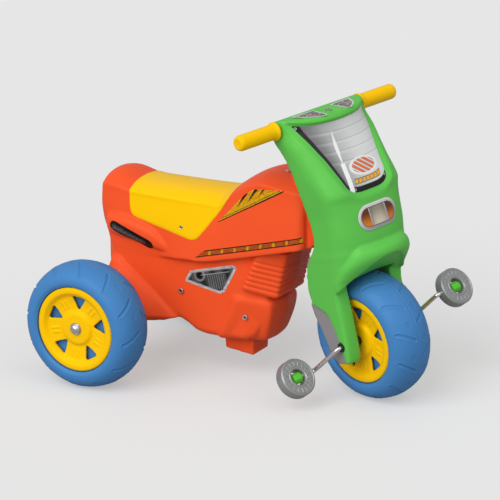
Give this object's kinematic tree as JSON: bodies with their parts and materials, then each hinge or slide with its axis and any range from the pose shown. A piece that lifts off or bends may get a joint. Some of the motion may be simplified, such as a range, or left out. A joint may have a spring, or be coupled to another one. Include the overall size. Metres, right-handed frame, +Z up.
{
  "type": "pedal motorcycle",
  "caption": "Child's ride-on pedal motorcycle: moulded body with saddle on wide rear wheels, raked steerable fork with fairing, handlebar and a front wheel driven by pedals.",
  "frame": {"origin": "on the ground under the middle of the whole vehicle's bounding box", "axes": "+X forward, +Y to the rider's left, +Z up"},
  "size_m": [0.6748, 0.466, 0.5006],
  "materials": {
    "red_plastic": "smooth blow moulded, orange red",
    "yellow_plastic": "smooth moulded, warm yellow",
    "green_plastic": "smooth blow moulded, leaf green",
    "blue_plastic": "blow moulded, satin blue",
    "grey_plastic": "moulded, warm grey",
    "silver_plastic": "silver coloured plastic",
    "black_plastic": "plain black bearings",
    "steel": "zinc plated",
    "chrome": "bright plated rod",
    "screen_sticker": "silver printed film",
    "lamp_sticker": "amber printed film"
  },
  "bodies": {
    "body": {"body_shell": "red_plastic", "seat": "yellow_plastic", "seat_screw_left": "steel", "seat_screw_right": "steel", "tank_screw_left": "steel", "tank_screw_right": "steel", "engine_screw_front_left": "steel", "engine_screw_front_right": "steel", "engine_screw_rear_left": "steel", "engine_screw_rear_right": "steel", "rear_axle": "steel", "axle_bush_left": "black_plastic", "axle_bush_right": "black_plastic", "axle_washer_left": "steel", "axle_washer_right": "steel", "axle_cap_left": "steel", "axle_cap_right": "steel", "head_bush_lower": "black_plastic", "head_bush_upper": "black_plastic"},
    "fork": {"fork_fairing": "green_plastic", "fork_back": "grey_plastic", "steering_column": "steel", "bar_clamp": "grey_plastic", "handlebar_tube": "steel", "grip_left": "yellow_plastic", "grip_right": "yellow_plastic", "dash_screw": "steel", "windscreen": "screen_sticker", "headlight": "lamp_sticker", "crank_bush_left": "black_plastic", "crank_bush_right": "black_plastic"},
    "front_wheel": {"tyre_front": "blue_plastic", "hub_front_left": "yellow_plastic", "hub_front_right": "yellow_plastic", "crank": "chrome", "pedal_cap_left": "green_plastic", "pedal_cap_right": "green_plastic"},
    "right_pedal": {"pedal_right": "silver_plastic"},
    "left_pedal": {"pedal_left": "silver_plastic"},
    "rear_wheel_right": {"tyre_rear_right": "blue_plastic", "hub_rear_right_outer": "yellow_plastic", "hub_rear_right_inner": "yellow_plastic"},
    "rear_wheel_left": {"tyre_rear_left": "blue_plastic", "hub_rear_left_outer": "yellow_plastic", "hub_rear_left_inner": "yellow_plastic"}
  },
  "joints": [
    {"name": "steer", "type": "hinge", "parent": "body", "child": "fork", "pos_m": [0.2226, 0, 0.1107], "axis": [-0.2756, 0, 0.9613], "range_deg": [-9, 47]},
    {"name": "front_wheel_spin", "type": "hinge", "parent": "fork", "child": "front_wheel", "pos_m": [0.2226, 0, 0.1107], "axis": [0.313, 0.9455, 0.0897], "continuous": true},
    {"name": "pedal_right_spin", "type": "hinge", "parent": "front_wheel", "child": "right_pedal", "pos_m": [0.14005, -0.11959, 0.05395], "axis": [0.313, 0.9455, 0.0897], "continuous": true},
    {"name": "pedal_left_spin", "type": "hinge", "parent": "front_wheel", "child": "left_pedal", "pos_m": [0.30922, 0.13188, 0.16861], "axis": [0.313, 0.9455, 0.0897], "continuous": true},
    {"name": "rear_wheel_right_spin", "type": "hinge", "parent": "body", "child": "rear_wheel_right", "pos_m": [-0.2274, -0.19, 0.11], "axis": [0, 1, 0], "continuous": true},
    {"name": "rear_wheel_left_spin", "type": "hinge", "parent": "body", "child": "rear_wheel_left", "pos_m": [-0.2274, 0.19, 0.11], "axis": [0, 1, 0], "continuous": true}
  ]
}
